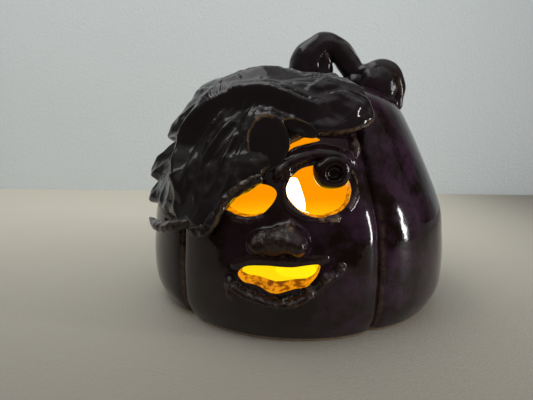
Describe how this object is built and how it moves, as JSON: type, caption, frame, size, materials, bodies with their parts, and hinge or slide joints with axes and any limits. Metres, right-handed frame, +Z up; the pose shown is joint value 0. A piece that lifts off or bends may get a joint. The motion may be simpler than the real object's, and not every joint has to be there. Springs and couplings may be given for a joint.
{
  "type": "ceramic pumpkin lantern",
  "caption": "Glazed ceramic pumpkin lantern with a carved face, a draped leaf and a curled stalk, with a wax candle standing inside.",
  "frame": {"origin": "middle of the bounding box's underside, on the surface that the lantern stands on", "axes": "+Z up; -Y out of the face; +X towards the right-hand eye, as seen from in front"},
  "size_m": [0.1999, 0.2082, 0.1775],
  "materials": {
    "glaze": "glossy dark brown-black glaze with purple mottling, breaking to tan on edges",
    "wax": "satin white wax, glowing near the flame"
  },
  "bodies": {
    "root": {"lantern": "glaze", "candle": "wax"}
  },
  "joints": []
}
